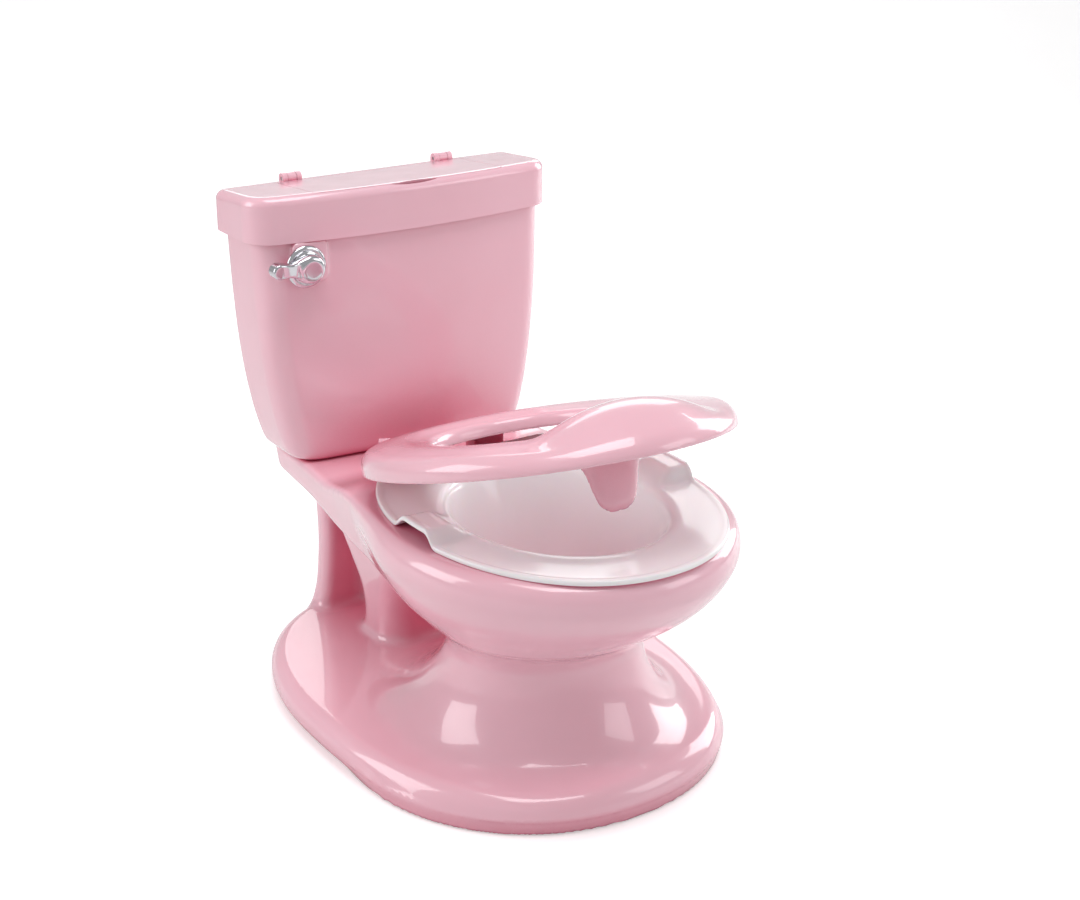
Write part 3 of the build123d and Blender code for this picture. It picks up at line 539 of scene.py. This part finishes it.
def circle_steps(n):
    angle = np.linspace(0, 2 * math.pi, n, endpoint=False)
    return np.cos(angle), np.sin(angle)


def egg_loop(half, front, rear, mid, z, power=2.0, rear_limit=None):
    """Egg outline at height z, cut straight across at rear_limit if there is one."""
    c, s = circle_steps(256)
    x = half * np.sign(c) * np.abs(c) ** (2 / power)
    reach = np.where(s > 0, rear - mid, mid - front)
    y = mid + reach * np.sign(s) * np.abs(s) ** (2 / power)
    if rear_limit is not None:
        y = np.minimum(-smooth_max(-y, np.full_like(y, -rear_limit), 3), rear_limit)
    return np.stack([x, y, np.full_like(x, z)], 1)


# ------------------------------------------------------------------ pot
LOOP_RISE = 10.0                 # finger loops above the rim
POT_RIM = 204.05
RIM_THICKNESS = 4.0

# outline of the rim, and where it is cut straight across in front of the hinge
RIM_HALF, RIM_FRONT, RIM_REAR, RIM_WIDEST, RIM_CUT = 116.0, -212.6, 80.0, -62.6, 52.0
RIM_FLAT_INSET = 1.4             # where the rim's upper and lower faces end

# inside of the pot from its bottom to the rim: half width, front, rear, widest, height
POT_INSIDE = ((6, -84, -72, -78, 117), (30, -112, -46, -78, 116.8), (44, -127, -31, -78, 117.6),
              (50.5, -135, -22, -77.5, 121.5), (54.5, -140.5, -16.5, -77, 130), (61, -149, -8, -76, 147),
              (67.5, -157.5, 0, -75, 170), (72.5, -163, 7, -74, 190), (74.3, -165.3, 9.5, -73, 197.5),
              (76.5, -167.6, 11.8, -72.5, 201.8), (79.6, -170.6, 15, -72, POT_RIM - 0.25),
              (84, -175, 19, -71, POT_RIM))
# outside of the pot from the rim to its bottom
POT_OUTSIDE = ((78.5, -169.5, 14, -72.5, 199), (76.3, -167, 11.8, -74, 190), (71, -161.4, 4, -75, 170),
               (64.5, -153, -4, -76, 147), (57.5, -144, -13, -77, 128), (53.5, -138.5, -18.5, -77.5, 119.5),
               (48, -131, -27, -78, 115), (32, -114, -44, -78, 114.05), (6, -84, -72, -78, 114.05))
# dish in the rim's upper face: share of the way out, depth
RIM_DISH = ((0.1, 0.3), (0.22, 0.8), (0.4, 1.0), (0.58, 1.0), (0.74, 1.0), (0.84, 0.95), (0.89, 0.6),
            (0.93, 0.15))
# rounded edge of the rim: inset, drop
RIM_EDGE_PROFILE = ((1.9, 0.0), (0.9, 0.15), (0.2, 0.9), (0.0, 1.9), (0.0, 3.1), (0.3, 3.8),
                    (1.0, RIM_THICKNESS))
RIM_UNDERSIDE = (0.8, 0.5, 0.25, 0.08)


def rim_loop(share, inner_half, inner_front, inner_rear, rear_run, z):
    """Loop on the rim, a given share of the way from its inner to its outer edge."""
    def between(a, b):
        return a + share * (b - a)
    half = between(inner_half, RIM_HALF - RIM_FLAT_INSET)
    front = between(inner_front, RIM_FRONT + RIM_FLAT_INSET)
    rear = between(inner_rear, RIM_REAR - RIM_FLAT_INSET)
    return egg_loop(half, front, rear, between(-71, RIM_WIDEST), z, 2 + 0.1 * share,
                    rear_limit=inner_rear + share * rear_run)


def finger_loop_lift(loop):
    """How far the two finger loops stand up out of the rim."""
    x, y = np.abs(loop[:, 0]), loop[:, 1]
    lengthwise = ease((y + 91.5) / 7.5) * ease((-38 - y) / 17)
    return LOOP_RISE * lengthwise * ease((x - 79) / 17)


def pot_loops():
    loops = [egg_loop(*station) for station in POT_INSIDE]
    for share, dip in RIM_DISH:
        loops.append(rim_loop(share, 84, -175, 19, 31.6, POT_RIM - dip))
    for inset, drop in RIM_EDGE_PROFILE:
        loops.append(egg_loop(RIM_HALF - inset, RIM_FRONT + inset, RIM_REAR - inset, RIM_WIDEST,
                              POT_RIM - drop, 2.1, RIM_CUT - inset))
    for share in RIM_UNDERSIDE:
        loops.append(rim_loop(share, 82, -173, 17, 33.6, POT_RIM - RIM_THICKNESS + 0.05))
    loops += [egg_loop(*station) for station in POT_OUTSIDE]
    for loop in loops:
        loop[:, 2] += finger_loop_lift(loop)
    return loops


pot = skin("potty_bowl_moulding", pot_loops())
smooth = pot.modifiers.new("smooth", "SUBSURF")
smooth.levels = 1
smooth.render_levels = 1
finish_piece(pot, "body", "white_plastic", "potty_bowl")


# ------------------------------------------------------------------ round plate behind the handle
PLATE_RADIUS = (PLATE_HIGH[0] - PLATE_LOW[0]) / 2
SPIGOT_RADIUS, SPIGOT_DEPTH = 6.0, 12.4
END_RADIUS = 4.06                # of its flat ends

# radius, height in front of the pad
PLATE_PROFILE = ((END_RADIUS, -SPIGOT_DEPTH), (5.9, -SPIGOT_DEPTH), (SPIGOT_RADIUS, -12.2),
                 (SPIGOT_RADIUS, -0.15), (6.2, 0.1), (PLATE_RADIUS - 0.5, 0.1), (PLATE_RADIUS - 0.1, 0.5),
                 (PLATE_RADIUS, 1.2), (16.2, 2.0), (15.3, 2.7), (13.8, 3.2), (13.1, 3.1), (12.5, 2.9),
                 (11.9, 3.1), (11.0, 3.7), (9.6, 4.0), (4.4, 4.05), (END_RADIUS, 3.9))


def plate_place(verts):
    """Turns the lathe's axis towards the front and centres it on the handle's shaft."""
    x, y, z = verts.T
    return np.stack([LEVER[0] + x, PAD_FACE - 0.05 - z, LEVER[2] + y], 1)


def turned_loops(profile):
    c, s = circle_steps(64)
    return [np.stack([r * c, r * s, np.full_like(c, height)], 1) for r, height in profile]


plate = skin("flush_escutcheon_plate", turned_loops(PLATE_PROFILE), plate_place)
finish_piece(plate, "body", "chrome", "flush_escutcheon")


# ------------------------------------------------------------------ flush handle
ARM = (-28.5, 3.0)               # from the shaft to the middle of the tip, in x and z
ARM_Y, TIP_Y = 114.6, 112.0
BOSS_RADIUS, BOSS_Y, BOSS_HALF_DEPTH = 9.6, 115.2, 4.1
BORE_RADIUS, BORE_FRONT = 4.05, 113.2


def lever_field(x, y, z):
    """Flat bar that narrows from the boss and thickens again into a block-like tip."""
    dx, dz = x - LEVER[0], z - LEVER[2]
    ax, az = ARM
    length = math.hypot(ax, az)
    run = (dx * ax + dz * az) / length
    across = (dz * ax - dx * az) / length
    t = np.clip(run / length, 0, 1)
    width = 9.6 - 4.6 * ease(t * 1.5) + 0.8 * ease((t - 0.6) / 0.4)
    depth = 3.2 + 2.0 * ease((t - 0.35) / 0.65)
    middle = ARM_Y + (TIP_Y - ARM_Y) * ease(t)
    arm = rounded(np.hypot(across, run - t * length) - width, slab(y, middle, depth), 1.5)
    radial = np.hypot(dx, dz)
    boss = rounded(radial - BOSS_RADIUS, slab(y, BOSS_Y, BOSS_HALF_DEPTH), 3.4)
    bore = np.minimum(BORE_RADIUS - radial, y - BORE_FRONT)
    return smooth_max(smooth_min(arm, boss, 6), bore, 0.6)


verts, quads = solid_mesh(lever_field, np.round(LEVER_LOW) - (6, 5, 5), np.round(LEVER_HIGH) + 5,
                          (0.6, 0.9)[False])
lever = new_object("flush_lever_casting", verts, quads)
finish_piece(lever, "handle", "chrome", "flush_lever")


# ------------------------------------------------------------------ tank lid and wipes lid
def soften_edges(obj, width):
    bevel = obj.modifiers.new("soft_edges", "BEVEL")
    bevel.width = width * MM
    bevel.segments = 2
    bevel.limit_method = "ANGLE"
    bevel.angle_limit = math.radians(50)
    bevel.harden_normals = True


for node in ("tank_lid", "wipes_lid"):
    soften_edges(frame["nodes"][node], 0.5)


# ------------------------------------------------------------------ materials
def srgb(r, g, b):
    """Linear colour from the usual 0 to 255 values."""
    def linear(c):
        c /= 255
        return c / 12.92 if c <= 0.04045 else ((c + 0.055) / 1.055) ** 2.4
    return (linear(r), linear(g), linear(b), 1.0)


class Shader:
    """Small helper that strings shader nodes together."""

    def __init__(self, material):
        material.use_nodes = True
        self.tree = material.node_tree
        self.tree.nodes.clear()
        self.bsdf = self.tree.nodes.new("ShaderNodeBsdfPrincipled")
        out = self.tree.nodes.new("ShaderNodeOutputMaterial")
        self.link(self.bsdf.outputs[0], out.inputs[0])
        self.coords = self.tree.nodes.new("ShaderNodeTexCoord").outputs["Object"]

    def link(self, a, b):
        self.tree.links.new(a, b)

    def noise(self, scale, detail=3.0):
        n = self.tree.nodes.new("ShaderNodeTexNoise")
        n.inputs["Scale"].default_value = scale
        n.inputs["Detail"].default_value = detail
        self.link(self.coords, n.inputs["Vector"])
        return n.outputs["Fac"]

    def remap(self, value, a, b, c, d):
        """The range a to b becomes c to d."""
        n = self.tree.nodes.new("ShaderNodeMapRange")
        for name, number in zip(("From Min", "From Max", "To Min", "To Max"), (a, b, c, d)):
            n.inputs[name].default_value = number
        self.link(value, n.inputs["Value"])
        return n.outputs["Result"]

    def cloud(self, scale, low, high, detail=3.0):
        """Noise spread between low and high."""
        return self.remap(self.noise(scale, detail), 0.3, 0.7, low, high)

    def mix(self, share, a, b):
        n = self.tree.nodes.new("ShaderNodeMix")
        n.data_type = "RGBA"
        self.link(share, n.inputs["Factor"])
        for value, socket in ((a, n.inputs[6]), (b, n.inputs[7])):
            if isinstance(value, tuple):
                socket.default_value = value
            else:
                self.link(value, socket)
        return n.outputs[2]

    def height(self):
        n = self.tree.nodes.new("ShaderNodeSeparateXYZ")
        self.link(self.coords, n.inputs[0])
        return n.outputs[2]

    def painted_shade_openness(self, reach):
        """1 on open surfaces, falling towards 0 deep in a recess; the mask for painted shade."""
        n = self.tree.nodes.new("ShaderNodeAmbientOcclusion")
        n.samples = 8
        n.inputs["Distance"].default_value = reach
        return n.outputs["AO"]

    def bump(self, height, strength, distance):
        n = self.tree.nodes.new("ShaderNodeBump")
        n.inputs["Strength"].default_value = strength
        n.inputs["Distance"].default_value = distance
        self.link(height, n.inputs["Height"])
        self.link(n.outputs[0], self.bsdf.inputs["Normal"])

    def set(self, **values):
        for key, value in values.items():
            socket = self.bsdf.inputs[key.replace("_", " ")]
            if hasattr(value, "is_linked"):
                self.link(value, socket)
            else:
                socket.default_value = value


def plain(material, dark, light, scale, rough=(0.3, 0.4), metallic=0.0, bump=0.05):
    """Even material with a fine grain, for floor and small parts."""
    s = Shader(material)
    s.set(Base_Color=s.mix(s.cloud(scale, 0, 1), dark, light), Metallic=metallic,
          Roughness=s.cloud(scale * 2.3, *rough))
    s.bump(s.noise(scale * 6), bump, 0.0002)
    return s


def make_pink(material):
    """Glossy moulded plastic with painted shade: a deeper pink is painted into recesses and creases, where
    light only comes in after several bounces.
    """
    s = Shader(material)
    open_pink = s.mix(s.cloud(9, 0, 1, detail=2), srgb(241, 187, 200), srgb(244, 193, 206))
    # painted shade: the deep pink goes where the surface is sheltered, open_pink on open surfaces
    painted_shade_openness = s.remap(s.painted_shade_openness(0.1), 0.12, 0.72, 0, 1)
    s.set(Base_Color=s.mix(painted_shade_openness, srgb(224, 112, 140), open_pink),
          Roughness=s.cloud(40, 0.2, 0.27, detail=4),
          Subsurface_Weight=0.1, Subsurface_Scale=0.006, Subsurface_Radius=(1.0, 0.45, 0.5),
          Coat_Weight=1.0, Coat_Roughness=0.04)
    s.bump(s.noise(120, 2), 0.008, 0.001)


def make_white(material):
    """Glossy white plastic with a painted reflection: pinker towards its bottom, where the pink light of the
    body round it is painted in.
    """
    s = Shader(material)
    # painted reflection: pink bounce light painted low on the pot, fading to plain white at the rim
    rise = s.remap(s.height(), 0.130, 0.2035, 0, 1)
    s.set(Base_Color=s.mix(rise, srgb(232, 205, 211), srgb(247, 245, 246)),
          Roughness=s.cloud(35, 0.14, 0.2),
          Subsurface_Weight=0.1, Subsurface_Scale=0.004, Coat_Weight=0.3, Coat_Roughness=0.06)
    s.bump(s.noise(110, 2), 0.01, 0.001)


def make_chrome(material):
    s = Shader(material)
    s.set(Base_Color=s.mix(s.noise(60), srgb(208, 208, 213), srgb(224, 224, 228)), Metallic=1.0,
          Roughness=s.cloud(150, 0.05, 0.1, detail=4))
    s.bump(s.noise(90, 2), 0.01, 0.0005)


makers = {
    "pink_plastic": make_pink,
    "white_plastic": make_white,
    "chrome": make_chrome,
    "steel": lambda m: plain(m, srgb(150, 150, 154), srgb(182, 182, 186), 180, (0.25, 0.4), 1.0),
    "rubber_pad": lambda m: plain(m, srgb(176, 170, 170), srgb(205, 200, 200), 200, (0.6, 0.8)),
    "pink_rubber": lambda m: plain(m, srgb(214, 150, 166), srgb(228, 168, 182), 200, (0.5, 0.7)),
    "white_case": lambda m: plain(m, srgb(214, 214, 212), srgb(230, 230, 228), 90, (0.35, 0.5)),
    "circuit_board": lambda m: plain(m, srgb(14, 84, 44), srgb(26, 112, 60), 260, (0.3, 0.5)),
    "dark_part": lambda m: plain(m, srgb(24, 24, 26), srgb(44, 44, 48), 240, (0.4, 0.6)),
    "battery_jacket": lambda m: plain(m, srgb(50, 58, 74), srgb(66, 76, 96), 60, (0.25, 0.35)),
    "brass_contact": lambda m: plain(m, srgb(186, 150, 84), srgb(210, 176, 108), 150, (0.25, 0.4), 1.0),
}
for slot_name, maker in makers.items():
    maker(bpy.data.materials[slot_name])


# ------------------------------------------------------------------ stage, light and camera
CAMERA_AZIMUTH, CAMERA_ELEVATION = math.radians(-32.91), math.radians(21.22)
CAMERA_TARGET = Vector((0, -0.008, 0.2236))
CAMERA_DISTANCE = 1.35

# pale floor that curves up into a wall far behind the object
FLOOR_HALF_WIDTH, FLOOR_FRONT, FLOOR_REAR = 4500, -3000, 1500
SWEEP_RADIUS, WALL_TOP = 1400, 4200
FLOOR_DROP = 0.3


def stage_floor():
    profile = [(FLOOR_FRONT, 0), (FLOOR_REAR, 0)]
    for i in range(1, 13):
        angle = i / 12 * math.pi / 2
        profile.append((FLOOR_REAR + SWEEP_RADIUS * math.sin(angle), SWEEP_RADIUS * (1 - math.cos(angle))))
    profile.append((FLOOR_REAR + SWEEP_RADIUS, WALL_TOP))
    c, s = math.cos(CAMERA_AZIMUTH), math.sin(CAMERA_AZIMUTH)
    verts = [(x * c - y * s, x * s + y * c, z - FLOOR_DROP)
             for y, z in profile for x in (-FLOOR_HALF_WIDTH, FLOOR_HALF_WIDTH)]
    faces = [(2 * i, 2 * i + 1, 2 * i + 3, 2 * i + 2) for i in range(len(profile) - 1)]
    obj = new_object("studio_floor", verts, faces)
    material = bpy.data.materials.new("pale_floor")
    shader = plain(material, srgb(232, 231, 231), srgb(236, 235, 235), 3, (0.5, 0.6), bump=0.0)
    # the camera alone sees the floor a little brighter, so that it reads as white
    camera_ray = shader.tree.nodes.new("ShaderNodeLightPath").outputs["Is Camera Ray"]
    glow = shader.remap(camera_ray, 0, 1, 0.0, 0.42)
    shader.set(Emission_Color=(1, 1, 1, 1), Emission_Strength=glow)
    obj.data.materials.append(material)
    return obj


def look_at(obj, place, target):
    obj.location = place
    obj.rotation_euler = (Vector(target) - Vector(place)).to_track_quat("-Z", "Y").to_euler()


def area_light(name, place, aim, width, height, power):
    light = bpy.data.lights.new(name, "AREA")
    light.shape = "RECTANGLE"
    light.size = width
    light.size_y = height
    light.energy = power
    obj = bpy.data.objects.new(name, light)
    bpy.context.scene.collection.objects.link(obj)
    look_at(obj, place, aim)


def studio_air(strength):
    """Even pale light from all round."""
    world = bpy.context.scene.world or bpy.data.worlds.new("studio")
    bpy.context.scene.world = world
    world.use_nodes = True
    background = next(n for n in world.node_tree.nodes if n.type == "BACKGROUND")
    background.inputs["Color"].default_value = (0.96, 0.96, 0.97, 1)
    background.inputs["Strength"].default_value = strength


def photo_camera():
    data = bpy.data.cameras.new("photo_view")
    data.sensor_width = 36
    data.lens = 60.0
    data.shift_x = 0.0315
    data.clip_end = 50
    camera = bpy.data.objects.new("photo_view", data)
    bpy.context.scene.collection.objects.link(camera)
    level, rise = math.cos(CAMERA_ELEVATION), math.sin(CAMERA_ELEVATION)
    away = Vector((math.sin(CAMERA_AZIMUTH) * level, -math.cos(CAMERA_AZIMUTH) * level, rise))
    look_at(camera, CAMERA_TARGET + away * CAMERA_DISTANCE, CAMERA_TARGET)
    return camera


stage_floor()
area_light("left_window", (-1.8, 0.75, 1.0), (0, 0, 0.15), 1.1, 1.3, 14)
area_light("right_window", (1.85, 0.2, 0.8), (0, 0, 0.12), 1.0, 1.2, 15)
area_light("back_softbox", (1.15, 1.75, 1.1), (0, 0, 0.2), 1.5, 0.75, 5.5)
area_light("top_softbox", (-0.1, -0.35, 2.3), (0, 0, 0.1), 1.3, 1.3, 22)
area_light("front_fill", (1.7, -1.9, 1.1), (0, -0.05, 0.15), 1.2, 1.2, 8)
studio_air(0.45)
bpy.context.scene.camera = photo_camera()
bpy.context.scene.view_settings.view_transform = "Standard"
